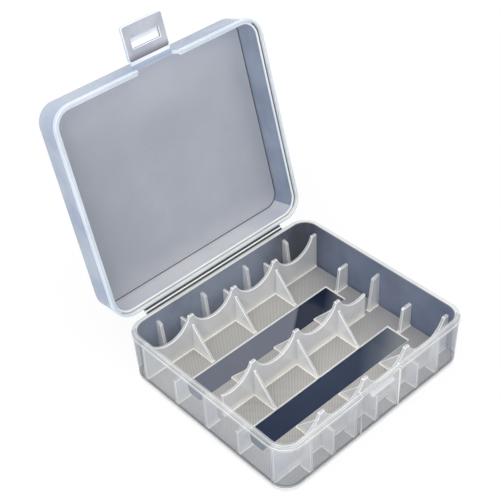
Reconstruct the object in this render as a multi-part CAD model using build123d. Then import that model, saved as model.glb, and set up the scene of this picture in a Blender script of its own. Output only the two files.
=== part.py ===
"""Battery storage case for four round cells lying side by side.

A shallow tray with cell cradles, a lid on a double living hinge along the back
and a slotted latch flap on the lid's front.  The real case is one injection
moulding; here each moulded feature is its own solid.
Millimetres.  X runs along the hinge, -Y is the latch side, +Z is up and the
origin is the middle of the tray's underside.  The lid is drawn closed and then
swung to its resting angle.
"""
import os

from build123d import *

# ---- driving dimensions -------------------------------------------------
cell_count = 4
cell_pitch = 20.0
side_gap = 1.25             # spare width beside the outer cells
tray_inside_depth = 73.4    # front wall to back wall
inside_corner_radius = 5.5

floor_thickness = 1.2
rim_height = 20.3           # underside to the shoulder that the lid sits on
rim_width = 2.0
rim_band_height = 1.0
lip_width = 0.9
lip_height = 0.8
wall_top_thickness = 1.75
wall_foot_thickness = 1.15
foot_chamfer = 0.5

saddle_thickness = 1.2
end_saddle_inset = 5.6      # middle of an end saddle from the wall behind it
cradle_radius = 9.4
cradle_low = 9.0            # lowest point of a cradle above the floor
peak_height = 15.5
peak_edge_radius = 0.5
middle_saddle_end_gap = 2.15 # saddle's end to the side fin's foot

gusset_thickness = 1.0
gusset_length = 9.8
gusset_height = 11.6
gusset_tip_height = 0.8
gusset_shoulder = 1.1
lane_rib_height = 11.1

fin_thickness = 1.2
end_fin_height = 15.9
end_fin_top_reach = 2.1
end_fin_chamfer = 0.8
end_fin_foot_reach = 3.9
side_fin_height = 10.4
side_fin_top_reach = 4.4
side_fin_foot_reach = 5.6
middle_fin_height = 14.6
middle_fin_top_reach = 3.2
middle_fin_foot_reach = 5.0
middle_fin_chamfer = 0.9

strip_middle_gap = 0.1      # long edges of a floor strip from the gussets' tips
strip_end_gap = 0.9
strip_side_gap = 0.65       # strip's end to the side fins' feet
strip_sink = 0.4            # strip surface below the floor surface
strip_thickness = 0.4

recess_half_width = 8.9
recess_depth = 0.8
catch_half_width = 5.2
catch_top = 18.9
catch_height = 1.25
catch_reach = 1.3
catch_tip_height = 0.5

lid_depth = 12.4            # rim plane to the outer face of the panel
lid_panel_thickness = 1.2
lid_wall_thickness = 1.25
lid_wall_step = 0.3         # wall face behind the rim's outer face
lid_wall_draft = 0.7        # how far the walls lean in up to the panel
lid_rim_height = 1.8
lid_rebate_depth = 1.2
lid_lip_width = 0.85
lid_edge_radius = 1.0
lid_seat_gap = 0.15         # closed lid above the tray's shoulder

notch_half_width_rim = 9.2
notch_half_width_root = 8.2
notch_depth = 5.2

flap_half_width = 8.3
flap_thickness = 1.2
flap_length = 12.0
flap_corner_radius = 1.0
flap_root_gap = 1.5         # hinge line to the flap's root edge
flap_web_gap = 0.35         # hinge line to the thin web on the flap's root
slot_half_width = 5.7
slot_near = 5.35            # hinge line to the slot's near edge
slot_far = 8.9
slot_ledge_near = 7.35      # hinge line to the ledge over the slot's far part
slot_ledge_thickness = 0.5
latch_line_inset = 0.1      # hinge line behind the lid's rim face
latch_web_half_width = 8.0
latch_web_thickness = 0.4

hinge_half_width = 32.0
hinge_line_reach = 0.6      # fold lines outside the back rim face
hinge_line_spacing = 2.0    # between the two fold lines
hinge_web_thickness = 0.5
hinge_ledge_height = 1.0
hinge_running_gap = 0.12
strap_thickness = 0.8

rest_lid_angle = 104.65     # lid's opening at rest, shared by both fold lines

# ---- sizes worked out from them ----------------------------------------
inside_width = cell_count * cell_pitch + 2 * side_gap
outside_width = inside_width + 2 * rim_width
outside_depth = tray_inside_depth + 2 * rim_width
half_inside_width = inside_width / 2
half_inside_depth = tray_inside_depth / 2
half_outside_depth = outside_depth / 2
wall_height = rim_height - rim_band_height
saddle_spacing = half_inside_depth - end_saddle_inset
middle_saddle_half_length = half_inside_width - middle_fin_foot_reach - middle_saddle_end_gap
strip_half_length = half_inside_width - side_fin_foot_reach - strip_side_gap
strip_near = saddle_thickness / 2 + gusset_length + strip_middle_gap
strip_far = saddle_spacing - saddle_thickness / 2 - gusset_length - strip_end_gap
side_fin_spacing = (strip_near + strip_far) / 2
cradle_centre_height = floor_thickness + cradle_low + cradle_radius
lane_middles = [(i - (cell_count - 1) / 2) * cell_pitch for i in range(cell_count)]
lane_edges = [(i - cell_count / 2) * cell_pitch for i in range(1, cell_count)]
lid_plane = rim_height + lid_seat_gap
fold_angle = rest_lid_angle / 2
hinge_y = half_outside_depth + hinge_line_reach
tray_fold_z = lid_plane - hinge_line_spacing / 2
lid_fold_z = lid_plane + hinge_line_spacing / 2
latch_fold_y = -half_outside_depth + latch_line_inset
latch_fold_z = lid_plane + notch_depth - latch_web_thickness / 2


# ---- helpers -----------------------------------------------------------
def block(x_low, x_high, y_low, y_high, z_low, z_high):
    """Box between two corners."""
    size = (x_high - x_low, y_high - y_low, z_high - z_low)
    centre = ((x_low + x_high) / 2, (y_low + y_high) / 2, (z_low + z_high) / 2)
    return Pos(*centre) * Box(*size)


def rounded_plate(growth, z_low, z_high):
    """Plate with the tray's inside outline grown by growth."""
    width = inside_width + 2 * growth
    depth = tray_inside_depth + 2 * growth
    outline = RectangleRounded(width, depth, inside_corner_radius + growth)
    return Pos(0, 0, z_low) * extrude(outline, z_high - z_low)


def drafted_plate(growth_low, growth_high, z_low, z_high):
    """Plate whose outline grows evenly from its lower to its upper face."""
    faces = []
    for growth, z in ((growth_low, z_low), (growth_high, z_high)):
        width = inside_width + 2 * growth
        depth = tray_inside_depth + 2 * growth
        outline = RectangleRounded(width, depth, inside_corner_radius + growth)
        faces.append(Pos(0, 0, z) * outline)
    return loft(faces)


def ring(inner_growth, outer_growth, z_low, z_high):
    """Upright wall between two grown outlines."""
    return rounded_plate(outer_growth, z_low, z_high) - rounded_plate(inner_growth, z_low, z_high)


def profile_across(points, x_middle, thickness):
    """Plate of given thickness across X whose outline is (y, z) points."""
    outline = make_face(Polyline(*[(0, y, z) for y, z in points], close=True))
    return Pos(x_middle - thickness / 2, 0, 0) * extrude(outline, thickness, dir=(1, 0, 0))


def profile_along(points, y_middle, thickness):
    """Plate of given thickness along Y whose outline is (x, z) points."""
    outline = make_face(Polyline(*[(x, 0, z) for x, z in points], close=True))
    return Pos(0, y_middle - thickness / 2, 0) * extrude(outline, thickness, dir=(0, 1, 0))


def rod_along_x(half_length, y, z, radius):
    """Round bar along X."""
    return Pos(0, y, z) * Rot(0, 90, 0) * Cylinder(radius, 2 * half_length)


# ---- tray --------------------------------------------------------------
def make_tray_floor():
    floor = rounded_plate(0, 0, floor_thickness)
    for side in (-1, 1):
        y_low, y_high = sorted((side * strip_near, side * strip_far))
        pocket_z = floor_thickness - strip_sink - strip_thickness
        floor -= block(-strip_half_length, strip_half_length, y_low, y_high, pocket_z, floor_thickness)
    return floor


def make_floor_strip(side):
    y_low, y_high = sorted((side * strip_near, side * strip_far))
    top = floor_thickness - strip_sink
    return block(-strip_half_length, strip_half_length, y_low, y_high, top - strip_thickness, top)


def front_recess(z_low, z_high):
    face_y = -half_outside_depth + recess_depth
    return block(-recess_half_width, recess_half_width, face_y - rim_width, face_y, z_low, z_high)


def tray_outer_body():
    """Outside of the tray's walls as one closed form."""
    body = drafted_plate(wall_foot_thickness, wall_top_thickness, 0, wall_height)
    return chamfer(body.faces().sort_by(Axis.Z)[0].edges(), foot_chamfer)


def make_tray_walls():
    walls = tray_outer_body() - rounded_plate(0, 0, wall_height)
    return walls - front_recess(0, wall_height)


def make_tray_rim():
    band = ring(0, rim_width, wall_height, rim_height)
    lip = ring(0, lip_width, rim_height, rim_height + lip_height)
    return band + lip - front_recess(wall_height, rim_height)


def make_catch():
    """Wedge on the recessed front face that the flap's slot drops over."""
    wall_y = -half_outside_depth + recess_depth
    tip_y = wall_y - catch_reach
    bottom = catch_top - catch_height
    outline = [
        (wall_y, bottom),
        (tip_y, bottom),
        (tip_y, bottom + catch_tip_height),
        (wall_y, catch_top),
    ]
    return profile_across(outline, 0, 2 * catch_half_width)


# ---- cell cradles and ribs ---------------------------------------------
def make_saddle(y_middle, half_length):
    """Upright cross wall with one round cradle per cell lane."""
    peak_z = floor_thickness + peak_height
    height = peak_z - floor_thickness
    face = Pos(0, floor_thickness + height / 2) * Rectangle(2 * half_length, height)
    for x in lane_middles:
        face -= Pos(x, cradle_centre_height) * Circle(cradle_radius)
    peaks = face.vertices().filter_by(lambda v: abs(v.Y - peak_z) < 0.01 and abs(v.X) < half_length - 0.01)
    face = fillet(peaks, peak_edge_radius)
    saddle = Pos(0, y_middle, 0) * extrude(Plane.XZ * face, saddle_thickness / 2, both=True)
    return saddle & rounded_plate(0, floor_thickness, peak_z)


def make_gusset(x_middle, face_y, direction):
    """Sloping web from a saddle's face down to the floor."""
    z = floor_thickness
    outline = [
        (face_y, z),
        (face_y + direction * gusset_length, z),
        (face_y + direction * gusset_length, z + gusset_tip_height),
        (face_y + direction * gusset_shoulder, z + gusset_height - gusset_tip_height),
        (face_y, z + gusset_height),
    ]
    return profile_across(outline, x_middle, gusset_thickness)


def make_lane_rib(x_middle, side):
    """Level web between an end saddle and the wall behind it."""
    saddle_y = side * (saddle_spacing + saddle_thickness / 2)
    wall_y = side * half_inside_depth
    y_low, y_high = sorted((saddle_y, wall_y))
    half = gusset_thickness / 2
    return block(x_middle - half, x_middle + half, y_low, y_high, floor_thickness, floor_thickness + lane_rib_height)


def make_end_fin(x_middle, side):
    """Upright stop for a cell's end, on the front or back wall."""
    wall_y = side * half_inside_depth
    z = floor_thickness
    outline = [
        (wall_y, z),
        (wall_y - side * end_fin_foot_reach, z),
        (wall_y - side * end_fin_top_reach, z + end_fin_height - end_fin_chamfer),
        (wall_y, z + end_fin_height),
    ]
    return profile_across(outline, x_middle, fin_thickness)


def make_side_fin(y_middle, side, height, top_reach, foot_reach, chamfer):
    """Upright guide for the outer cell, on a side wall."""
    wall_x = side * half_inside_width
    z = floor_thickness
    outline = [
        (wall_x, z),
        (wall_x - side * foot_reach, z),
        (wall_x - side * top_reach, z + height - chamfer),
        (wall_x, z + height),
    ]
    return profile_along(outline, y_middle, fin_thickness)


# ---- hinge -------------------------------------------------------------
def make_tray_hinge_web():
    """Ledge on the back wall, ending in the lower fold line."""
    radius = hinge_web_thickness / 2
    top = tray_fold_z - radius - hinge_running_gap
    wall_y = half_inside_depth + wall_foot_thickness
    half = hinge_half_width
    ledge = block(-half, half, wall_y, hinge_y + radius, top - hinge_ledge_height, top)
    ledge -= tray_outer_body()
    ledge -= rounded_plate(rim_width, wall_height, rim_height)
    neck = block(-half, half, hinge_y - radius, hinge_y + radius, top, tray_fold_z)
    return ledge + neck + rod_along_x(half, hinge_y, tray_fold_z, radius)


def make_hinge_strap():
    """Stiff bar between the two fold lines."""
    end = hinge_web_thickness / 2 + hinge_running_gap
    half = strap_thickness / 2
    bar = block(
        -hinge_half_width,
        hinge_half_width,
        hinge_y - half,
        hinge_y + half,
        tray_fold_z + end,
        lid_fold_z - end,
    )
    return bar


def make_lid_hinge_web():
    """Ledge on the lid's back wall, ending in the upper fold line."""
    radius = hinge_web_thickness / 2
    foot = lid_fold_z + radius + hinge_running_gap
    wall_y = half_inside_depth + rim_width - lid_wall_step - lid_wall_draft
    half = hinge_half_width
    ledge = block(-half, half, wall_y, hinge_y + radius, foot, foot + hinge_ledge_height)
    ledge -= lid_outer_body()
    ledge -= rounded_plate(rim_width, lid_plane, lid_wall_foot)
    neck = block(-half, half, hinge_y - radius, hinge_y + radius, lid_fold_z, foot)
    return ledge + neck + rod_along_x(half, hinge_y, lid_fold_z, radius)


# ---- lid, drawn closed -------------------------------------------------
lid_top = lid_plane + lid_depth
lid_panel_foot = lid_top - lid_panel_thickness
lid_wall_foot = lid_plane + lid_rim_height
lid_wall_growth = rim_width - lid_wall_step
lid_top_growth = lid_wall_growth - lid_wall_draft


def lid_outer_body():
    """Outside of the lid above its rim as one closed form."""
    body = drafted_plate(lid_wall_growth, lid_top_growth, lid_wall_foot, lid_top)
    return fillet(body.faces().sort_by(Axis.Z)[-1].edges(), lid_edge_radius)


def lid_inner_body():
    """Room inside the lid's walls, carried up through the panel."""
    foot = lid_wall_growth - lid_wall_thickness
    return drafted_plate(foot, foot - lid_wall_draft, lid_wall_foot, lid_top)


def front_notch():
    """Tapered cut-out in the lid's front wall, under the latch flap."""
    root_z = lid_plane + notch_depth
    outline = [
        (-notch_half_width_rim, lid_plane),
        (notch_half_width_rim, lid_plane),
        (notch_half_width_root, root_z),
        (-notch_half_width_root, root_z),
    ]
    return profile_along(outline, -half_outside_depth, 3 * rim_width)


def make_lid_panel():
    return lid_outer_body() - rounded_plate(lid_wall_growth, lid_wall_foot, lid_panel_foot)


def make_lid_walls():
    walls = lid_outer_body() - lid_inner_body()
    walls -= rounded_plate(lid_wall_growth, lid_panel_foot, lid_top)
    return walls - front_notch()


def make_lid_rim():
    rim = ring(0, rim_width, lid_plane + lid_rebate_depth, lid_wall_foot)
    lip = ring(rim_width - lid_lip_width, rim_width, lid_plane, lid_plane + lid_rebate_depth)
    return rim + lip - front_notch()


def make_latch_hinge_web():
    """Thin strip under the notch's edge that carries the flap's fold line."""
    radius = latch_web_thickness / 2
    wall_y = -half_outside_depth + lid_wall_step + lid_wall_thickness
    half = latch_web_half_width
    strip = block(-half, half, latch_fold_y, wall_y, latch_fold_z - radius, latch_fold_z + radius)
    return strip + rod_along_x(half, latch_fold_y, latch_fold_z, radius)


def make_latch_flap():
    """Flap with a slot, drawn straight out from the lid as it rests.

    A ledge on the outside covers the part of the slot that takes the catch.
    """
    root_y = latch_fold_y - flap_root_gap
    tip_y = latch_fold_y - flap_root_gap - flap_length
    z_low = latch_fold_z
    z_high = latch_fold_z + flap_thickness
    plate = block(-flap_half_width, flap_half_width, tip_y, root_y, z_low, z_high)
    corners = plate.edges().filter_by(Axis.Z).group_by(Axis.Y)[0]
    plate = fillet(corners, flap_corner_radius)
    half = slot_half_width
    near_y = latch_fold_y - slot_near
    pocket = block(-half, half, latch_fold_y - slot_far, near_y, z_low, z_high - slot_ledge_thickness)
    window = block(-half, half, latch_fold_y - slot_ledge_near, near_y, z_low, z_high)
    half = latch_web_half_width
    web = block(-half, half, root_y, latch_fold_y - flap_web_gap, z_low, z_low + latch_web_thickness)
    return plate - pocket - window + web


# ---- resting pose ------------------------------------------------------
def swing_strap(shape):
    """Swing about the tray's fold line, opening positive."""
    return shape.rotate(Axis((0, hinge_y, tray_fold_z), (-1, 0, 0)), fold_angle)


def swing_lid(shape):
    """Swing about the lid's fold line and then with the strap."""
    shape = shape.rotate(Axis((0, hinge_y, lid_fold_z), (-1, 0, 0)), fold_angle)
    return swing_strap(shape)


def build_nodes():
    nodes = {
        "tray_floor": make_tray_floor(),
        "tray_walls": make_tray_walls(),
        "tray_rim": make_tray_rim(),
        "rear_floor_strip": make_floor_strip(1),
        "front_floor_strip": make_floor_strip(-1),
        "latch_catch": make_catch(),
        "rear_saddle": make_saddle(saddle_spacing, half_inside_width),
        "middle_saddle": make_saddle(0, middle_saddle_half_length),
        "front_saddle": make_saddle(-saddle_spacing, half_inside_width),
    }
    half = saddle_thickness / 2
    for number, x in enumerate(lane_edges, start=1):
        nodes[f"rear_saddle_gusset_{number}"] = make_gusset(x, saddle_spacing - half, -1)
        nodes[f"middle_saddle_rear_gusset_{number}"] = make_gusset(x, half, 1)
        nodes[f"middle_saddle_front_gusset_{number}"] = make_gusset(x, -half, -1)
        nodes[f"front_saddle_gusset_{number}"] = make_gusset(x, -saddle_spacing + half, 1)
        nodes[f"rear_lane_rib_{number}"] = make_lane_rib(x, 1)
        nodes[f"front_lane_rib_{number}"] = make_lane_rib(x, -1)
    for number, x in enumerate(lane_middles, start=1):
        nodes[f"rear_end_fin_{number}"] = make_end_fin(x, 1)
        nodes[f"front_end_fin_{number}"] = make_end_fin(x, -1)
    outer_fin = (side_fin_height, side_fin_top_reach, side_fin_foot_reach, 0.0)
    middle_fin = (middle_fin_height, middle_fin_top_reach, middle_fin_foot_reach, middle_fin_chamfer)
    for name, side in (("left", -1), ("right", 1)):
        nodes[f"{name}_side_fin_front"] = make_side_fin(-side_fin_spacing, side, *outer_fin)
        nodes[f"{name}_side_fin_middle"] = make_side_fin(0, side, *middle_fin)
        nodes[f"{name}_side_fin_rear"] = make_side_fin(side_fin_spacing, side, *outer_fin)
    nodes["tray_hinge_web"] = make_tray_hinge_web()
    nodes["hinge_strap"] = swing_strap(make_hinge_strap())
    nodes["lid_hinge_web"] = swing_lid(make_lid_hinge_web())
    nodes["lid_panel"] = swing_lid(make_lid_panel())
    nodes["lid_walls"] = swing_lid(make_lid_walls())
    nodes["lid_rim"] = swing_lid(make_lid_rim())
    nodes["latch_hinge_web"] = swing_lid(make_latch_hinge_web())
    nodes["latch_flap"] = swing_lid(make_latch_flap())
    return nodes


os.makedirs("parts", exist_ok=True)
for node_name, shape in build_nodes().items():
    export_step(shape, f"parts/{node_name}.step")
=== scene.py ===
"""Looks of a see-through storage case for four round cells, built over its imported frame."""

import math

import bmesh
import bpy
from mathutils import Matrix, Vector


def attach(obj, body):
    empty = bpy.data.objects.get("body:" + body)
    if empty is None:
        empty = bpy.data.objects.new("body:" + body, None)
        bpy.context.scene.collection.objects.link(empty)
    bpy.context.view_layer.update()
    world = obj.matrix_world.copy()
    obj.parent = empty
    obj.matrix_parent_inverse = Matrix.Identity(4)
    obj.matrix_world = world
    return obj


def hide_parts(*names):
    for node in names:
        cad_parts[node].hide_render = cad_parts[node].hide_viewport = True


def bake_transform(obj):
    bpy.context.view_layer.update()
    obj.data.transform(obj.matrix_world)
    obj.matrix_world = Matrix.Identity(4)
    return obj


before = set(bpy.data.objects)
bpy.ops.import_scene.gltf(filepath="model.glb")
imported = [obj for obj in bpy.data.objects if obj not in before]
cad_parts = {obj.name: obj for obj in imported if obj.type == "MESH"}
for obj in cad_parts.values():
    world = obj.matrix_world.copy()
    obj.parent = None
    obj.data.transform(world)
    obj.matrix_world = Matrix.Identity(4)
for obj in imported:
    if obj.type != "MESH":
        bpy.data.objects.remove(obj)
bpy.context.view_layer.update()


# ---- Viewpoint ---------------------------------------------------------
# A short telephoto view from the case's front left, a little above forty
# degrees, with the slight roll of a camera held by hand.
mm = 0.001
aim = Vector((29.98, 55.60, 1.20)) * mm
view_azimuth, view_elevation, view_roll = map(math.radians, (-41.0447, 39.8788, -3.1645))
view_distance = 426.37 * mm

towards_camera = Vector((
    math.sin(view_azimuth) * math.cos(view_elevation),
    -math.cos(view_azimuth) * math.cos(view_elevation),
    math.sin(view_elevation),
))
level_right = (-towards_camera).cross(Vector((0, 0, 1))).normalized()
level_up = level_right.cross(-towards_camera)
right = level_right * math.cos(view_roll) + level_up * math.sin(view_roll)
up = level_up * math.cos(view_roll) - level_right * math.sin(view_roll)
lens = bpy.data.cameras.new("viewpoint")
lens.sensor_width = 36.0
lens.lens = 79.30
lens.clip_start, lens.clip_end = 0.01, 20.0
camera = bpy.data.objects.new("viewpoint", lens)
camera.matrix_world = Matrix.Translation(aim + towards_camera * view_distance) @ Matrix(
    (right, up, towards_camera)
).transposed().to_4x4()
bpy.context.collection.objects.link(camera)
bpy.context.scene.camera = camera
bpy.context.scene.view_settings.view_transform = "Standard"


# ---- Table and studio --------------------------------------------------
# A white sweep of board under the case and an even white room, so that the
# plastic is lit from all round and keeps a faint shadow at its foot.
def linear(code):
    """sRGB hex colour as linear RGBA."""
    channels = [int(code[i:i + 2], 16) / 255 for i in (1, 3, 5)]
    return tuple(c / 12.92 if c <= 0.04045 else ((c + 0.055) / 1.055) ** 2.4 for c in channels) + (1.0,)


def add(tree, kind, settings=None, inputs=None):
    """Adds one node; an input is a value or a socket to link from."""
    node = tree.nodes.new(kind)
    for name, value in (settings or {}).items():
        setattr(node, name, value)
    for name, value in (inputs or {}).items():
        if isinstance(value, bpy.types.NodeSocket):
            tree.links.new(value, node.inputs[name])
        else:
            node.inputs[name].default_value = value
    return node


def seen_directly(tree):
    """1 on rays from the camera, from a mirror or through clear plastic."""
    ray = add(tree, "ShaderNodeLightPath")
    pair = add(tree, "ShaderNodeMath", {"operation": "MAXIMUM"},
               {0: ray.outputs["Is Camera Ray"], 1: ray.outputs["Is Glossy Ray"]})
    return add(tree, "ShaderNodeMath", {"operation": "MAXIMUM"},
               {0: pair.outputs[0], 1: ray.outputs["Is Transmission Ray"]}).outputs[0]


room_light = 0.80
world = bpy.data.worlds.new("white room")
world.use_nodes = True
tree = world.node_tree
tree.nodes.clear()
lit = add(tree, "ShaderNodeBackground", None, {"Color": linear("#ffffff"), "Strength": room_light})
seen = add(tree, "ShaderNodeBackground", None, {"Color": linear("#ffffff"), "Strength": 1.0})
both = add(tree, "ShaderNodeMixShader", None, {0: seen_directly(tree), 1: lit.outputs[0], 2: seen.outputs[0]})
add(tree, "ShaderNodeOutputWorld", None, {"Surface": both.outputs[0]})
bpy.context.scene.world = world

board = bpy.data.materials.new("white card, matt coated")
board.use_nodes = True
tree = board.node_tree
tree.nodes.clear()
card = add(tree, "ShaderNodeBsdfDiffuse", None, {"Color": linear("#f4f4f4"), "Roughness": 0.6})
glow = add(tree, "ShaderNodeEmission", None, {"Color": linear("#ffffff"), "Strength": 1.0})
glow_share = 0.86       # the rest is lit card, which takes the case's shadow
share = add(tree, "ShaderNodeMath", {"operation": "MULTIPLY"}, {0: seen_directly(tree), 1: glow_share})
surface = add(tree, "ShaderNodeMixShader", None, {0: share.outputs[0], 1: card.outputs[0], 2: glow.outputs[0]})
add(tree, "ShaderNodeOutputMaterial", None, {"Surface": surface.outputs[0]})

table_drop = 0.25 * mm      # keeps the board clear of the case's underside
table_reach = 4.0
table_corners = [(x * table_reach, y * table_reach, -table_drop) for x, y in ((-1, -1), (1, -1), (1, 1), (-1, 1))]
table_mesh = bpy.data.meshes.new("table")
table_mesh.from_pydata(table_corners, [], [(0, 1, 2, 3)])
table_mesh.materials.append(board)
table = bpy.data.objects.new("table", table_mesh)
bpy.context.collection.objects.link(table)

lit_point = Vector((0, 0, 0.02))
for name, place, size, power in (
    ("overhead softbox", (-0.15, -0.10, 0.90), 0.90, 3.2),
    ("left softbox", (-0.80, -0.45, 0.50), 0.60, 2.0),
    ("rear softbox", (0.45, 0.75, 0.60), 0.60, 1.4),
):
    lamp = bpy.data.lights.new(name, "AREA")
    lamp.shape, lamp.size, lamp.energy = "SQUARE", size, power
    softbox = bpy.data.objects.new(name, lamp)
    softbox.location = place
    softbox.rotation_mode = "QUATERNION"
    softbox.rotation_quaternion = (lit_point - Vector(place)).to_track_quat("-Z", "Y")
    bpy.context.collection.objects.link(softbox)


# ---- Tray shell --------------------------------------------------------
# Floor, walls and rim are one sheet of injection-moulded polypropylene.  The
# floor is spark-textured, the walls are smooth, and the rim's cut corners
# are painted white as highlights.
floor_top = 1.2
half_inside = (41.25, 36.7)
inside_radius = 5.5
wall_top = 19.3
shoulder = 20.3
recess_half_width = 8.9
recess_face = -37.9
recess_slant = 0.2      # half the width of the recess's leaning sides
recess_points = 4       # points of a ring on the front wall, two at each side of the recess
corner_steps = 10
hinge_y, tray_fold, lid_fold = 39.3, 19.45, 21.45
half_opening = math.radians(104.65 / 2)     # each of the two folds takes half of the lid's angle


def outline(growth, z, recess=None):
    """Ring of points round the tray's inside outline, grown by growth."""
    half_x, half_y = half_inside[0] + growth, half_inside[1] + growth
    radius = inside_radius + growth
    points = []
    outer, inner = recess_half_width + recess_slant, recess_half_width - recess_slant
    for x in (-outer, -inner, inner, outer):
        y = -half_y
        if recess is not None and abs(x) < recess_half_width:
            y = max(y, recess)
        points.append((x, y, z))
    for corner in range(4):
        middle_x = (half_x - radius) * (1 if corner in (0, 1) else -1)
        middle_y = (half_y - radius) * (1 if corner in (1, 2) else -1)
        for step in range(corner_steps + 1):
            angle = math.radians(-90 + 90 * corner + 90 * step / corner_steps)
            points.append((middle_x + radius * math.cos(angle), middle_y + radius * math.sin(angle), z))
    return points


def wall_at(i):
    """Wall that side i of an outline ring belongs to: 0 front, 1 right, 2 back, 3 left, -1 beside the recess."""
    if i in (0, 2):
        return -1
    past_first_corner = i - recess_points - corner_steps // 2
    return (past_first_corner // (corner_steps + 1) + 1) % 4


def shell_from_rings(rings, band_finish, ends=(0, 0), closed=False):
    """Joins rings of points into one closed skin.  band_finish numbers each band's material,
    or gives numbers for the front, right, back and left walls and the sides of the recess."""
    shell = bmesh.new()
    loops = [[shell.verts.new(point) for point in ring] for ring in rings]
    pairs = list(zip(loops, loops[1:]))
    if closed:
        pairs.append((loops[-1], loops[0]))
    for (low, high), finish in zip(pairs, band_finish):
        for i in range(len(low)):
            j = (i + 1) % len(low)
            number = finish[wall_at(i)] if isinstance(finish, tuple) else finish
            shell.faces.new((low[i], low[j], high[j], high[i])).material_index = number
    if not closed:
        shell.faces.new(loops[0][::-1]).material_index = ends[0]
        shell.faces.new(loops[-1]).material_index = ends[1]
    bmesh.ops.recalc_face_normals(shell, faces=shell.faces)
    return shell


def swing_to_rest(point):
    """Carries a point of the closed lid to the resting angle, about both fold lines."""
    turn = Matrix.Rotation(half_opening, 3, Vector((-1, 0, 0)))
    for fold in (Vector((0, hinge_y, lid_fold)), Vector((0, hinge_y, tray_fold))):
        point = turn @ (point - fold) + fold
    return point


def moulded_piece(name, shape, materials, swing=None, cuts=()):
    """Makes a piece in metres and cuts blocks out of it, each cut (list of blocks, material).
    Each point keeps its place in the mould as an attribute; swing then carries it to its pose."""
    for vertex in shape.verts:
        vertex.co = Vector([round(c, 5) * mm for c in vertex.co])
    mesh = bpy.data.meshes.new(name)
    shape.to_mesh(mesh)
    shape.free()
    for material in materials:
        mesh.materials.append(material)
    piece = bpy.data.objects.new(name, mesh)
    bpy.context.collection.objects.link(piece)
    for blocks, material in cuts:
        cut_away(piece, blocks, material)
    mesh = piece.data
    as_moulded = mesh.attributes.new("as_moulded", "FLOAT_VECTOR", "POINT")
    for vertex, place in zip(mesh.vertices, as_moulded.data):
        place.vector = vertex.co
        if swing:
            vertex.co = swing(vertex.co / mm) * mm
    mesh.shade_smooth()
    mesh.set_sharp_from_angle(angle=math.radians(35))
    return piece


def cut_away(piece, blocks, material):
    """Cuts blocks, given as lists of eight corners in metres, out of a piece."""
    cutter_mesh = bpy.data.meshes.new("cutter")
    faces = [(0, 3, 2, 1), (4, 5, 6, 7), (0, 1, 5, 4), (1, 2, 6, 5), (2, 3, 7, 6), (3, 0, 4, 7)]
    corners = [corner for eight in blocks for corner in eight]
    block_faces = [tuple(i + 8 * number for i in face) for number in range(len(blocks)) for face in faces]
    cutter_mesh.from_pydata(corners, [], block_faces)
    cutter_mesh.materials.append(material)
    cutter = bpy.data.objects.new("cutter", cutter_mesh)
    bpy.context.collection.objects.link(cutter)
    cut = piece.modifiers.new("cut", "BOOLEAN")
    cut.operation, cut.solver, cut.object, cut.material_mode = "DIFFERENCE", "EXACT", cutter, "TRANSFER"
    settle(piece)
    bpy.data.objects.remove(cutter)


def settle(piece):
    """Turns a piece and its modifiers into one plain mesh."""
    bpy.context.view_layer.update()
    settled = bpy.data.meshes.new_from_object(piece.evaluated_get(bpy.context.evaluated_depsgraph_get()))
    piece.modifiers.clear()
    settled.name = piece.name
    piece.data = settled


def block(x_low, x_high, y_low, y_high, z_low, z_high):
    """Eight corners of an upright block, in metres."""
    return [Vector((x, y, z)) * mm for z in (z_low, z_high)
            for x, y in ((x_low, y_low), (x_high, y_low), (x_high, y_high), (x_low, y_high))]


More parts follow.
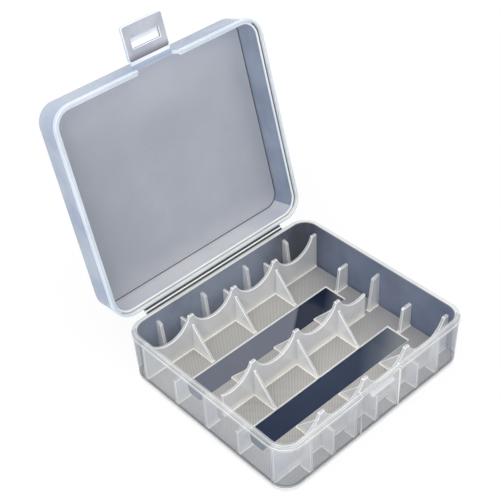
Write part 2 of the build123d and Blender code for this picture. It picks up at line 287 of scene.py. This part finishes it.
def polypropylene(name, pale, deep, alpha, roughness, flow, grain=None, shades=()):
    """Moulded polypropylene.  To the eye it is milky, with faint clouds flow mm apart and slow waves.
    grain is the spark texture's (pitch mm, turn degrees, share of the colour, depth mm), drawn coarser
    than the real one, which is too fine to show; each shade is (colour, axis, from mm, to mm), a
    colour that grows along an axis of the mould."""
    material = bpy.data.materials.new(name)
    material.use_nodes = True
    tree = material.node_tree
    tree.nodes.clear()
    place = add(tree, "ShaderNodeAttribute", {"attribute_name": "as_moulded"}).outputs["Vector"]
    clouds = add(tree, "ShaderNodeTexNoise", None, {
        "Vector": place, "Scale": 1 / (flow * mm), "Detail": 3.0, "Roughness": 0.55})
    share = add(tree, "ShaderNodeMapRange", {"interpolation_type": "SMOOTHSTEP"},
                {"Value": clouds.outputs["Fac"], "From Min": 0.32, "From Max": 0.68}).outputs[0]
    wave_length, wave_height = 6 * mm, 0.05 * mm
    height = add(tree, "ShaderNodeTexNoise", None, {
        "Vector": place, "Scale": 1 / wave_length, "Detail": 2.0}).outputs["Fac"]
    if grain:
        pitch, turn, contrast, depth = grain
        along = add(tree, "ShaderNodeMapping", None, {
            "Vector": place, "Rotation": (0, 0, math.radians(turn)), "Scale": (2 * math.pi / (pitch * mm),) * 3})
        axes = add(tree, "ShaderNodeSeparateXYZ", None, {0: along.outputs[0]})
        waves = [add(tree, "ShaderNodeMath", {"operation": "SINE"}, {0: axes.outputs[axis]}).outputs[0]
                 for axis in (0, 1)]
        height = add(tree, "ShaderNodeMath", {"operation": "MULTIPLY"}, {0: waves[0], 1: waves[1]}).outputs[0]
        wave_height = depth * mm
        faint_clouds = add(tree, "ShaderNodeMath", {"operation": "MULTIPLY_ADD"}, {0: share, 1: 0.16, 2: 0.42})
        share = add(tree, "ShaderNodeMath", {"operation": "MULTIPLY_ADD", "use_clamp": True},
                    {0: height, 1: contrast, 2: faint_clouds.outputs[0]}).outputs[0]
    colour = add(tree, "ShaderNodeMix", {"data_type": "RGBA"},
                 {"Factor": share, 6: linear(deep), 7: linear(pale)}).outputs[2]
    for tint, axis, start, end in shades:
        position = add(tree, "ShaderNodeSeparateXYZ", None, {0: place}).outputs[axis]
        shade_share = add(tree, "ShaderNodeMapRange", {"interpolation_type": "SMOOTHSTEP"},
                          {"Value": position, "From Min": start * mm, "From Max": end * mm}).outputs[0]
        colour = add(tree, "ShaderNodeMix", {"data_type": "RGBA"},
                     {"Factor": shade_share, 6: colour, 7: linear(tint)}).outputs[2]
    bump = add(tree, "ShaderNodeBump", None, {"Strength": 0.5, "Distance": wave_height, "Height": height})
    plastic = add(tree, "ShaderNodeBsdfPrincipled", None, {
        "Base Color": colour, "Roughness": roughness, "IOR": 1.49, "Alpha": alpha, "Normal": bump.outputs[0]})
    add(tree, "ShaderNodeOutputMaterial", None, {"Surface": plastic.outputs[0]})
    return material


# The walls are polished: light passes the front and left ones, and the inner
# faces of the back and right ones are painted slate blue as a reflection of a dark room, with painted shade
# deepening into the back-right corner.
outside_wall = polypropylene(       # a thin grey haze over what stands behind it
    "polypropylene, polished mould, outer face", "#bcc2cc", "#a3acbb", 0.32, 0.20, 26)
near_inside = polypropylene(        # all but clear
    "polypropylene, polished mould, inner face towards the light", "#d3d7dd", "#c0c6cf", 0.12, 0.25, 30)
back_inside_painted_dark = polypropylene(        # painted slate blue reflection, with painted shade darker to the right
    "polypropylene, polished mould, back wall's inner face", "#848ea1", "#667085", 0.88, 0.22, 26,
    shades=(("#2a3042", 0, 12, 39),))
right_inside_painted_dark = polypropylene(       # painted slate blue reflection, with painted shade darker to the back
    "polypropylene, polished mould, right wall's inner face", "#6b7690", "#5a657c", 0.90, 0.22, 22,
    shades=(("#2e3548", 1, 20, 37),))
milky_outside = polypropylene(      # milky, which keeps the painted dark from showing through from behind
    "polypropylene, polished mould, outer face of the back and right walls", "#d3d8df", "#bec6d1", 0.74, 0.22, 26)

# Cut corners and edges are painted white as highlights; flats are greyer.
bright_line = polypropylene("polypropylene, light-gathering edge", "#f6f6f1", "#e6e8e5", 0.92, 0.30, 16)
rim_flat = polypropylene("polypropylene, flat of the rim", "#d2d5d8", "#bfc4cb", 0.50, 0.28, 20)
far_rim = polypropylene("polypropylene, rim of the back and right walls", "#e2e4e3", "#d2d5d5", 0.88, 0.30, 16)
# white lines along the walls' foot are painted highlights; the hinge strap takes the same
painted_foot_and_strap_highlight = polypropylene("polypropylene, edge under the walls", "#ffffff", "#f2f0e6", 1.0, 0.30, 16)
sill = polypropylene("polypropylene, wall over the floor's edge", "#c8ccd0", "#b9bdc3", 0.85, 0.30, 16)
textured_floor = polypropylene(     # matt and warm grey, dotted by the spark texture, with painted shade darker toward the right
    "polypropylene, spark-textured floor", "#c9c7c2", "#83817f", 1.0, 0.55, 30,
    grain=(0.72, 0, 1.1, 0.04), shades=(("#87878c", 0, 12, 60),))

tray_finishes = [outside_wall, bright_line, back_inside_painted_dark, textured_floor, near_inside, rim_flat,
                 right_inside_painted_dark, painted_foot_and_strap_highlight, sill, far_rim, milky_outside]
OUTSIDE, LINE, FAR_INSIDE, FLOOR, NEAR_INSIDE, FLAT, RIGHT_INSIDE, FOOT, SILL, FAR_RIM, FAR_OUTSIDE = range(11)
# by wall: front, right, back, left, beside the recess
outer_walls = (OUTSIDE, FAR_OUTSIDE, FAR_OUTSIDE, OUTSIDE, LINE)
inner_walls = (NEAR_INSIDE, RIGHT_INSIDE, FAR_INSIDE, NEAR_INSIDE, NEAR_INSIDE)
rim_walls = (FLAT, FAR_RIM, FAR_RIM, FLAT, LINE)

# from the underside up the outside, over the rim and down to the floor
tray_rings = [
    outline(0.65, 0.0), outline(0.8, 0.08), outline(1.1, 0.44), outline(1.13, 0.62), outline(1.16, 1.0),
    outline(1.17, 1.2), outline(1.2, 1.7), outline(1.22, 2.0), outline(1.25, 2.6),
    outline(1.72, wall_top - 0.05, recess_face), outline(1.95, wall_top + 0.05, recess_face),
    outline(2.0, wall_top + 0.2, recess_face), outline(2.0, shoulder - 0.12, recess_face),
    outline(1.88, shoulder, recess_face), outline(0.98, shoulder), outline(0.9, shoulder + 0.1),
    outline(0.9, shoulder + 0.68), outline(0.78, shoulder + 0.8), outline(0.14, shoulder + 0.8),
    outline(0.0, shoulder + 0.66), outline(0.0, shoulder + 0.2), outline(0.0, floor_top + 0.5),
    outline(-0.12, floor_top + 0.16), outline(-0.5, floor_top),
]
tray_bands = [FOOT, FOOT, SILL, FOOT, SILL, FOOT, OUTSIDE, SILL, outer_walls, LINE, LINE, FLAT, LINE, rim_walls,
              LINE, FLAT, LINE, rim_walls, LINE, FLAT, inner_walls, inner_walls, FLOOR]

# the floor's two sunk bands, each with a slope down to it all round
strip_half_length, strip_near, strip_far = 35.0, 10.5, 19.8
strip_surface, strip_bed = 0.8, 0.38
strip_places = ((strip_near, strip_far), (-strip_far, -strip_near))
slope_reach = 0.42
above_floor = 3.0
pockets = [block(-strip_half_length, strip_half_length, low, high, strip_bed, above_floor)
           for low, high in strip_places]
lead_ins = []
for low, high in strip_places:
    lead_in = block(-strip_half_length, strip_half_length, low, high, strip_surface, floor_top + 0.02)
    for corner, (x, y) in zip(lead_in[4:], ((-1, -1), (1, -1), (1, 1), (-1, 1))):
        corner += Vector((x, y, 0)) * slope_reach * mm
    lead_ins.append(lead_in)
tray_shape = shell_from_rings(tray_rings, tray_bands, (FLOOR, FLOOR))
# the sunk bands' walls and slopes are painted white as highlights
tray_shell = moulded_piece("tray_shell", tray_shape, tray_finishes,
                           cuts=((pockets, bright_line), (lead_ins, bright_line)))
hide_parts("tray_floor", "tray_walls", "tray_rim")
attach(tray_shell, "tray")


# ---- Floor strips ------------------------------------------------------
# Two mirror-polished bands in the floor.  With no texture to scatter light
# they are near black blue, with painted grey reflections of the lid and the walls.
def band_with_painted_reflections(name, stops):
    """Mirror-polished plastic.  To the eye it is near black blue with painted grey reflections
    of the lid and the walls in places; stops are (mm along the strip on a slant, colour)."""
    slant, half_span = 1.316, 60
    material = bpy.data.materials.new(name)
    material.use_nodes = True
    tree = material.node_tree
    tree.nodes.clear()
    place = add(tree, "ShaderNodeTexCoord").outputs["Object"]
    axes = add(tree, "ShaderNodeSeparateXYZ", None, {0: place})
    along = add(tree, "ShaderNodeMath", {"operation": "MULTIPLY_ADD"},
                {0: axes.outputs[1], 1: -slant, 2: axes.outputs[0]})
    along = add(tree, "ShaderNodeMapRange", None,
                {"Value": along.outputs[0], "From Min": -half_span * mm, "From Max": half_span * mm})
    painted_reflection = add(tree, "ShaderNodeValToRGB", None, {"Fac": along.outputs[0]})
    ramp = painted_reflection.color_ramp.elements
    for number, (position, colour) in enumerate(stops):
        stop = ramp[number] if number < 2 else ramp.new(1.0)
        stop.position, stop.color = (position + half_span) / (2 * half_span), linear(colour)
    clouds = add(tree, "ShaderNodeTexNoise", None, {"Vector": place, "Scale": 1 / (22 * mm), "Detail": 2.0})
    light = add(tree, "ShaderNodeMapRange", None, {"Value": clouds.outputs["Fac"], "To Max": 0.25})
    colour = add(tree, "ShaderNodeMix", {"data_type": "RGBA"},
                 {"Factor": light.outputs[0], 6: painted_reflection.outputs["Color"], 7: linear("#46536f")})
    waves = add(tree, "ShaderNodeTexNoise", None, {"Vector": place, "Scale": 1 / (9 * mm)})
    bump = add(tree, "ShaderNodeBump", None,
               {"Strength": 0.3, "Distance": 0.03 * mm, "Height": waves.outputs["Fac"]})
    plastic = add(tree, "ShaderNodeBsdfPrincipled", None, {
        "Base Color": colour.outputs[2], "Roughness": 0.12, "IOR": 1.49, "Specular IOR Level": 0.10,
        "Normal": bump.outputs[0]})
    add(tree, "ShaderNodeOutputMaterial", None, {"Surface": plastic.outputs[0]})
    return material


# each strip's stops paint grey reflections of the lid and the walls onto the near black blue
for node, place_name, stops in (
    ("rear_floor_strip", "rear", ((-6.3, "#767983"), (-4.7, "#121a2e"), (9, "#121a2e"), (18, "#5c5f66"))),
    ("front_floor_strip", "front", ((35, "#1f2a41"), (46, "#565d67"), (56, "#868c8e"))),
):
    window = band_with_painted_reflections("polypropylene, mirror-polished band, " + place_name, stops)
    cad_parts[node].data.materials.clear()
    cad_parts[node].data.materials.append(window)


# ---- Saddles -----------------------------------------------------------
# Three cross walls with a round cradle for each cell.  They are moulded with
# the floor; their cut edges and the bead at their foot are painted white as highlights.

# Broad faces are a thin white haze; corners and beads are painted white lines as highlights.
milky_web = polypropylene("polypropylene, upright web", "#ffffff", "#f0f1f4", 0.50, 0.35, 24)
web_line = polypropylene("polypropylene, rounded corner of a web", "#ffffff", "#f4f5f5", 1.0, 0.30, 12)
web_edge = polypropylene("polypropylene, flat edge of a web", "#f2f3f4", "#e1e3e7", 0.50, 0.32, 12)
foot_bead = polypropylene("polypropylene, bead at a web's foot", "#fffdf4", "#f7f3e6", 0.95, 0.35, 12)
web_finishes = [milky_web, web_line, foot_bead, web_edge]
BROAD, CORNER, BEAD, EDGE = range(4)
lane_pitch = 20
lane_middles = (-30, -10, 10, 30)
lanes_half_width = 40
cradle_radius, cradle_centre, peak = 9.4, 19.6, 16.7
saddle_thickness = 1.2
saddle_y = 31.1
sunk = 0.06     # how far a web's foot and ends lie inside the shell


def plate(points, thickness, bead_from, bead_to):
    """Upright web whose outline is (along, height) points, its broad faces to the sides,
    its corners rounded and a bead along its foot."""
    shape = bmesh.new()
    sides = [[shape.verts.new((side * thickness / 2, a, h)) for a, h in points] for side in (-1, 1)]
    shape.faces.new(sides[0][::-1]).material_index = BROAD
    shape.faces.new(sides[1]).material_index = BROAD
    for i in range(len(points)):
        j = (i + 1) % len(points)
        shape.faces.new((sides[0][i], sides[0][j], sides[1][j], sides[1][i])).material_index = EDGE
    bmesh.ops.recalc_face_normals(shape, faces=shape.faces)
    turns = [e for e in shape.edges if len(e.link_faces) == 2 and e.calc_face_angle(0) > math.radians(25)]
    bmesh.ops.bevel(shape, geom=turns, offset=0.23, segments=2, affect="EDGES", material=CORNER,
                    clamp_overlap=True)
    bead_size, half = 0.36, thickness / 2
    wide, shoulder_height = half + bead_size, bead_size * 0.55
    section = [(-wide, -sunk), (wide, -sunk), (wide - 0.1, shoulder_height), (half, bead_size),
               (-half, bead_size), (-wide + 0.1, shoulder_height)]
    ends = [[shape.verts.new((x, along, floor_top + z)) for x, z in section] for along in (bead_from, bead_to)]
    made = [shape.faces.new(ends[0]), shape.faces.new(ends[1][::-1])]
    for i in range(len(section)):
        j = (i + 1) % len(section)
        made.append(shape.faces.new((ends[0][j], ends[0][i], ends[1][i], ends[1][j])))
    for face in made:
        face.material_index = BEAD
    bmesh.ops.recalc_face_normals(shape, faces=made)
    return shape


def cradle_height(off_middle):
    """Height of a cradle's arc at a distance from the lane's middle."""
    return cradle_centre - math.sqrt(cradle_radius ** 2 - off_middle ** 2)


def cradle_outline(half_length):
    """Outline of a saddle seen along the cells, from the left foot round to the right."""
    points = [(-half_length, floor_top - sunk)]
    reach_at_peak = math.sqrt(cradle_radius ** 2 - (cradle_centre - peak) ** 2)
    steps = 22
    for middle in lane_middles:
        start, finish = middle - reach_at_peak, middle + reach_at_peak
        for step in range(steps + 1):
            x = start + (finish - start) * (1 - math.cos(math.pi * step / steps)) / 2
            if abs(x) < half_length:
                points.append((x, cradle_height(x - middle)))
    end_height = peak if half_length > lanes_half_width else cradle_height(half_length - lane_middles[-1])
    points.insert(1, (-half_length, end_height))
    points += [(half_length, end_height), (half_length, floor_top - sunk)]
    return points


quarter_turn = Matrix.Rotation(math.radians(-90), 3, "Z")
for name, y, half_length in (
    ("rear_saddle", saddle_y, half_inside[0] + sunk),
    ("middle_saddle", 0.0, 34.1),
    ("front_saddle", -saddle_y, half_inside[0] + sunk),
):
    shape = plate(cradle_outline(half_length), saddle_thickness, -half_length, half_length)
    bmesh.ops.rotate(shape, verts=shape.verts, matrix=quarter_turn)
    bmesh.ops.translate(shape, verts=shape.verts, vec=(0, y, 0))
    saddle = moulded_piece(name + "_web", shape, web_finishes)
    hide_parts(name)
    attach(saddle, "tray")


# ---- Gussets, lane ribs and fins ---------------------------------------
# Thin webs that stiffen the saddles and stop the cells.  Each kind is one
# plate of the mould repeated along a wall or a saddle.
def repeat_tree():
    """Geometry Nodes: repeats a plate along a row and gives its faces their finishes."""
    tree = bpy.data.node_groups.new("webs in a row", "GeometryNodeTree")
    for name, kind in (
        ("Plate", "NodeSocketObject"), ("Count", "NodeSocketInt"), ("First Place", "NodeSocketVector"),
        ("Step", "NodeSocketVector"), ("Turn", "NodeSocketFloat"), ("Web", "NodeSocketMaterial"),
        ("Corner", "NodeSocketMaterial"), ("Bead", "NodeSocketMaterial"), ("Edge", "NodeSocketMaterial"),
    ):
        tree.interface.new_socket(name, in_out="INPUT", socket_type=kind)
    tree.interface.new_socket("Geometry", in_out="OUTPUT", socket_type="NodeSocketGeometry")
    given = add(tree, "NodeGroupInput").outputs
    line = add(tree, "GeometryNodeMeshLine", {"mode": "OFFSET"},
               {"Count": given["Count"], "Start Location": given["First Place"], "Offset": given["Step"]})
    plate_shape = add(tree, "GeometryNodeObjectInfo", {"transform_space": "ORIGINAL"}, {"Object": given["Plate"]})
    turn = add(tree, "ShaderNodeCombineXYZ", None, {"Z": given["Turn"]})
    row = add(tree, "GeometryNodeInstanceOnPoints", None,
              {"Points": line.outputs[0], "Instance": plate_shape.outputs["Geometry"], "Rotation": turn.outputs[0]})
    solid = add(tree, "GeometryNodeRealizeInstances", None, {"Geometry": row.outputs[0]}).outputs[0]
    for number, finish in enumerate(("Web", "Corner", "Bead", "Edge")):
        kind = add(tree, "GeometryNodeInputNamedAttribute", {"data_type": "INT"}, {"Name": "finish"})
        chosen = add(tree, "FunctionNodeCompare", {"data_type": "INT", "operation": "EQUAL"},
                     {2: kind.outputs["Attribute"], 3: number})
        solid = add(tree, "GeometryNodeSetMaterial", None,
                    {"Geometry": solid, "Selection": chosen.outputs[0], "Material": given[finish]}).outputs[0]
    add(tree, "NodeGroupOutput", None, {"Geometry": solid})
    return tree


webs_in_a_row = repeat_tree()


def rows_of_webs(name, shape, rows, nodes):
    """Repeats one plate in several rows, each (first place, step, count, turn), as one piece on the tray."""
    mesh = bpy.data.meshes.new("plate")
    finishes = [face.material_index for face in shape.faces]
    shape.to_mesh(mesh)
    shape.free()
    mesh.attributes.new("finish", "INT", "FACE").data.foreach_set("value", finishes)
    pattern = bpy.data.objects.new("plate", mesh)
    bpy.context.collection.objects.link(pattern)
    together = bmesh.new()
    for first, step, count, turn in rows:
        host = bpy.data.objects.new("row", bpy.data.meshes.new("row"))
        bpy.context.collection.objects.link(host)
        repeat = host.modifiers.new("repeat", "NODES")
        repeat.node_group = webs_in_a_row
        inputs = [item for item in webs_in_a_row.interface.items_tree if item.in_out == "INPUT"]
        for item, value in zip(inputs, (pattern, count, first, step, turn, *web_finishes)):
            repeat[item.identifier] = value
        settle(host)
        numbers = {material.name: number for number, material in enumerate(web_finishes)}
        order = [numbers.get(material.name, BROAD) if material else BROAD for material in host.data.materials]
        for face in host.data.polygons:
            face.material_index = order[face.material_index]
        together.from_mesh(host.data)
        bpy.data.objects.remove(host)
    bpy.data.objects.remove(pattern)
    piece = moulded_piece(name, together, web_finishes)
    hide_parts(*nodes)
    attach(piece, "tray")


def numbered(kinds, count):
    """Node names kind_1 to kind_count for each kind."""
    return [f"{kind}_{number}" for kind in kinds for number in range(1, count + 1)]


half_turn = math.pi
half_saddle = saddle_thickness / 2
foot = floor_top - sunk
to_right, to_left = (lane_pitch, 0, 0), (-lane_pitch, 0, 0)

gusset_top, gusset_knee, gusset_toe = floor_top + 11.6, floor_top + 10.8, floor_top + 0.8
gusset = [(-sunk, foot), (9.8, foot), (9.8, gusset_toe), (1.1, gusset_knee), (0.6, gusset_top), (-sunk, gusset_top)]
inner_face = saddle_y - half_saddle
rows_of_webs("saddle_gussets", plate(gusset, 1.0, 0.2, 10.1), [
    ((-lane_pitch, -inner_face, 0), to_right, 3, 0.0),
    ((-lane_pitch, half_saddle, 0), to_right, 3, 0.0),
    ((lane_pitch, inner_face, 0), to_left, 3, half_turn),
    ((lane_pitch, -half_saddle, 0), to_left, 3, half_turn),
], numbered(("rear_saddle_gusset", "middle_saddle_rear_gusset", "middle_saddle_front_gusset",
             "front_saddle_gusset"), 3))

rib_top = floor_top + 11.1
rib_start = saddle_y + half_saddle
rib_length = half_inside[1] - rib_start
lane_rib = [(-sunk, foot), (rib_length + sunk, foot), (rib_length + sunk, rib_top), (-sunk, rib_top)]
rows_of_webs("lane_ribs", plate(lane_rib, 1.0, 0.0, rib_length), [
    ((-lane_pitch, rib_start, 0), to_right, 3, 0.0),
    ((lane_pitch, -rib_start, 0), to_left, 3, half_turn),
], numbered(("rear_lane_rib", "front_lane_rib"), 3))

end_fin_top = floor_top + 15.9
end_fin = [(-sunk, foot), (3.9, foot), (2.1, floor_top + 15.1), (1.6, floor_top + 15.5), (0, end_fin_top),
           (-sunk, end_fin_top)]
rows_of_webs("end_fins", plate(end_fin, 1.2, 0.0, 4.2), [
    ((lane_middles[0], -half_inside[1], 0), to_right, 4, 0.0),
    ((lane_middles[-1], half_inside[1], 0), to_left, 4, half_turn),
], numbered(("rear_end_fin", "front_end_fin"), 4))

side_fin_y = 15.15
side_fin_top = floor_top + 10.4
side_fin = [(-sunk, foot), (5.6, foot), (4.4, floor_top + 10.1), (3.9, side_fin_top), (-sunk, side_fin_top)]
rows_of_webs("outer_side_fins", plate(side_fin, 1.2, 0.0, 5.9), [
    ((-half_inside[0], -side_fin_y, 0), (0, 2 * side_fin_y, 0), 2, -half_turn / 2),
    ((half_inside[0], -side_fin_y, 0), (0, 2 * side_fin_y, 0), 2, half_turn / 2),
], [f"{side}_side_fin_{place}" for side in ("left", "right") for place in ("front", "rear")])

middle_fin_top = floor_top + 14.6
middle_fin = [(-sunk, foot), (5.0, foot), (3.2, floor_top + 13.7), (2.7, floor_top + 14.1), (0, middle_fin_top),
              (-sunk, middle_fin_top)]
rows_of_webs("middle_side_fins", plate(middle_fin, 1.2, 0.0, 5.3), [
    ((-half_inside[0], 0, 0), (0, 0, 0), 1, -half_turn / 2),
    ((half_inside[0], 0, 0), (0, 0, 0), 1, half_turn / 2),
], [f"{side}_side_fin_middle" for side in ("left", "right")])


# ---- Lid shell ---------------------------------------------------------
# The same sheet as the tray's: a frosted panel with leaning polished walls
# and a rebated rim that fits over the tray's lip.
lid_plane = 20.45
lid_top = lid_plane + 12.4
frosted_panel = polypropylene(      # matt grey with a fine dotted grain; painted light toward the front end and a painted warm reflection by the hinge
    "polypropylene, spark-textured panel", "#c3c8d3", "#898e99", 0.92, 0.50, 34,
    grain=(0.85, 45, 0.40, 0.05), shades=(("#dbe1ee", 1, -6, -58), ("#d4d1ce", 1, 27, 50)))
lid_outer = polypropylene(          # pale blue haze
    "polypropylene, polished lid, outer face", "#c4d1e4", "#a2b4d3", 0.66, 0.20, 20)
lid_inner = polypropylene(          # blue grey, painted shade of the lid's own walls
    "polypropylene, polished lid, inner face", "#909db5", "#72819b", 0.78, 0.22, 24)
lid_hinge_side = polypropylene(     # pale grey, painted light from above
    "polypropylene, polished lid, inner face by the hinge", "#d2d3d6", "#bfc3cc", 0.80, 0.22, 24)
lid_flat = polypropylene(           # pale ice blue
    "polypropylene, flat of the lid's rim", "#e3edf8", "#d1deee", 0.84, 0.28, 20)
rebate_shadow = polypropylene(      # dark line in the step of the rim
    "polypropylene, in the rebate's shade", "#55585f", "#484b52", 0.90, 0.35, 20)
rebate_tan = polypropylene(         # warm grey painted shade in the same step, by the hinge
    "polypropylene, in the rebate by the hinge", "#b4afa0", "#a39e90", 0.90, 0.35, 20)
lid_line = polypropylene(           # white edge, a painted highlight
    "polypropylene, light-gathering edge of the lid", "#f4f9ff", "#e3ecf6", 0.95, 0.30, 16)
lid_finishes = [lid_outer, lid_line, lid_inner, frosted_panel, lid_hinge_side, lid_flat, rebate_shadow,
                bright_line, rebate_tan]
OUTER, LID_LINE, INNER, PANEL, HINGE_SIDE, LID_FLAT, SHADOW, CREAM, TAN = range(9)
# by wall: front, right, back, left, beside the recess
# in the rebate along the right and back: painted highlight on the wall, painted shade on the floor
rebate_wall = (LID_FLAT, CREAM, CREAM, LID_FLAT, LID_FLAT)
rebate_floor = (LID_FLAT, SHADOW, TAN, LID_FLAT, LID_FLAT)
# inner faces: painted shade, with painted light on the hinge side
lid_wall = (INNER, INNER, HINGE_SIDE, INNER, INNER)

# from the panel's outer edge over the rim and back up to the panel's inside
lid_rings = [
    outline(0.15, lid_top), outline(0.62, lid_top - 0.12), outline(0.88, lid_top - 0.4),
    outline(1.0, lid_top - 0.8), outline(1.68, lid_plane + 1.85), outline(1.95, lid_plane + 1.75),
    outline(2.0, lid_plane + 1.6), outline(2.0, lid_plane + 0.15), outline(1.88, lid_plane),
    outline(1.25, lid_plane), outline(1.15, lid_plane + 0.1), outline(1.15, lid_plane + 1.2),
    outline(0.6, lid_plane + 1.2), outline(0.25, lid_plane + 1.2), outline(0.0, lid_plane + 1.35),
    outline(0.0, lid_plane + 1.65), outline(0.1, lid_plane + 1.8), outline(0.44, lid_plane + 1.82),
    outline(-0.2, lid_top - 1.9), outline(-0.32, lid_top - 1.42), outline(-0.75, lid_top - 1.2),
]
lid_bands = [LID_LINE, LID_LINE, LID_LINE, OUTER, LID_LINE, LID_FLAT, LID_FLAT, LID_LINE, LID_FLAT, LID_LINE,
             rebate_wall, rebate_floor, LID_LINE, LID_LINE, LID_FLAT, LID_LINE, lid_wall, lid_wall, SHADOW, PANEL]

# the gap in the front wall below the latch's fold, where the folded flap hangs
notch_root = lid_plane + 5.2
notch_front, notch_back = -41.0, -35.6
notch = [Vector((x, y, z)) * mm for z, half in ((lid_plane - 0.04, 9.2), (notch_root, 8.2))
         for x, y in ((-half, notch_front), (half, notch_front), (half, notch_back), (-half, notch_back))]
lid_shape = shell_from_rings(lid_rings, lid_bands, (PANEL, PANEL))
lid_shell = moulded_piece("lid_shell", lid_shape, lid_finishes, swing_to_rest, cuts=(([notch], lid_line),))
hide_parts("lid_panel", "lid_walls", "lid_rim")
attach(lid_shell, "lid")


# ---- Latch flap --------------------------------------------------------
# A slotted tongue that hangs on a thin web at the lid's front edge.  The slot
# is stepped: a ledge on the outside covers the part that takes the catch.
flap_plastic = polypropylene(       # cool grey, with painted shade darker toward the fold
    "polypropylene, latch flap", "#c4c8d2", "#aeb4c2", 0.92, 0.26, 9, shades=(("#6b6a72", 1, -43.0, -39.8),))
flap_finishes = [flap_plastic, lid_line, lid_flat, rebate_shadow]
FACE, RIM, SIDE, SHADE = range(4)
latch_y = -38.6
flap_low = lid_plane + 5.0
flap_high = flap_low + 1.2
flap_corner_steps = 6


def flap_ring(half_width, near, far, radius, z):
    """Rounded oblong about the flap's middle, near and far measured out from the fold line."""
    middle, half_length = latch_y - (near + far) / 2, (far - near) / 2
    points = []
    for corner in range(4):
        middle_x = (half_width - radius) * (1 if corner in (0, 1) else -1)
        middle_y = middle + (half_length - radius) * (1 if corner in (1, 2) else -1)
        for step in range(flap_corner_steps + 1):
            angle = math.radians(-90 + 90 * corner + 90 * step / flap_corner_steps)
            points.append((middle_x + radius * math.cos(angle), middle_y + radius * math.sin(angle), z))
    return points


# from the inside face round the rim to the outside face and back through the slot
flap_rings = [
    flap_ring(8.02, 1.62, 13.22, 0.8, flap_low), flap_ring(8.3, 1.5, 13.5, 1.0, flap_low + 0.25),
    flap_ring(8.3, 1.5, 13.5, 1.0, flap_high - 0.15), flap_ring(8.15, 1.65, 13.35, 0.9, flap_high),
    flap_ring(5.75, 5.3, 7.5, 0.35, flap_high), flap_ring(5.55, 5.45, 7.35, 0.25, flap_high - 0.12),
    flap_ring(5.55, 5.45, 7.35, 0.25, flap_high - 0.5), flap_ring(5.7, 5.35, 8.8, 0.3, flap_high - 0.52),
    flap_ring(5.7, 5.35, 8.9, 0.3, flap_low + 0.25), flap_ring(5.92, 5.12, 9.12, 0.45, flap_low),
]
flap_bands = [RIM, SIDE, RIM, FACE, RIM, RIM, RIM, SHADE, RIM, FACE]
flap_shape = shell_from_rings(flap_rings, flap_bands, closed=True)

# the web between the flap and its fold, a plain block
web_low, web_high, web_start, web_end = flap_low + 0.03, flap_low + 0.4, latch_y - 0.35, latch_y - 1.7
web_corners = [flap_shape.verts.new((x, y, z)) for x in (-8.0, 8.0)
               for y, z in ((web_start, web_low), (web_start, web_high), (web_end, web_high), (web_end, web_low))]
web_sides = ((0, 1, 2, 3), (7, 6, 5, 4), (0, 4, 5, 1), (1, 5, 6, 2), (2, 6, 7, 3), (3, 7, 4, 0))
web_faces = [flap_shape.faces.new([web_corners[i] for i in side]) for side in web_sides]
for face in web_faces:
    face.material_index = RIM
bmesh.ops.recalc_face_normals(flap_shape, faces=web_faces)
flap = moulded_piece("latch_tongue", flap_shape, flap_finishes, swing_to_rest)
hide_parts("latch_flap")
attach(flap, "latch_flap")


# ---- Catch and hinge ---------------------------------------------------
# The wedge on the front wall, and the two ledges with the strap between them.
# The fold lines are pressed thin; dark sleeves over them are painted shade in their grooves beside the strap.
# the strap takes the painted white highlight of the walls' foot
for node, finish in (("latch_catch", web_edge), ("tray_hinge_web", rim_flat), ("hinge_strap", painted_foot_and_strap_highlight),
                     ("lid_hinge_web", bright_line), ("latch_hinge_web", lid_outer)):
    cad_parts[node].data.materials.clear()
    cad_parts[node].data.materials.append(finish)

# dark sleeves at the folds: painted shade in the grooves
fold_groove_shade = polypropylene("polypropylene, pressed thin at the fold", "#4a4b50", "#3b3c42", 1.0, 0.35, 20)
film_reach = 0.3        # the film bends over this length on both sides of its fold line
film_steps = 6
film_section = [(-31.8, -0.43), (31.8, -0.43), (32.02, -0.3), (32.02, 0.3),
                (31.8, 0.43), (-31.8, 0.43), (-32.02, 0.3), (-32.02, -0.3)]


def bend_about(point, fold, height):
    """Turns a point of the straight hinge about one fold line, more the further it is past it."""
    share = min(max((height - fold + film_reach) / (2 * film_reach), 0), 1)
    middle = Vector((0, hinge_y, fold))
    return Matrix.Rotation(half_opening * share, 3, Vector((-1, 0, 0))) @ (point - middle) + middle


def bent_at_both(point):
    """Carries a point of the straight hinge to the resting pose, past both folds."""
    return bend_about(bend_about(point, lid_fold, point.z), tray_fold, point.z)


def bent_at_tray(point):
    """Carries a point of the straight hinge to the resting pose, past the tray's fold only."""
    return bend_about(point, tray_fold, point.z)


for name, low, high, fold, bent, bodies in (
    ("tray_side_film", 18.95, 20.22, tray_fold, bent_at_tray, ("tray", "hinge_strap")),
    ("lid_side_film", 20.68, 21.92, lid_fold, bent_at_both, ("hinge_strap", "lid")),
):
    sleeve = bmesh.new()
    rings = []
    for step in range(film_steps + 1):
        height = low + (high - low) * step / film_steps
        rings.append([sleeve.verts.new((x, hinge_y + y, height)) for x, y in film_section])
    for lower, upper in zip(rings, rings[1:]):
        for i in range(len(film_section)):
            j = (i + 1) % len(film_section)
            sleeve.faces.new((lower[i], lower[j], upper[j], upper[i]))
    sleeve.faces.new(rings[0][::-1])
    sleeve.faces.new(rings[-1])
    bmesh.ops.recalc_face_normals(sleeve, faces=sleeve.faces)
    film = moulded_piece(name, sleeve, [fold_groove_shade], bent)
    start, end = (bent(Vector((0, hinge_y, fold + side * film_reach))) * mm for side in (-1, 1))
    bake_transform(film)
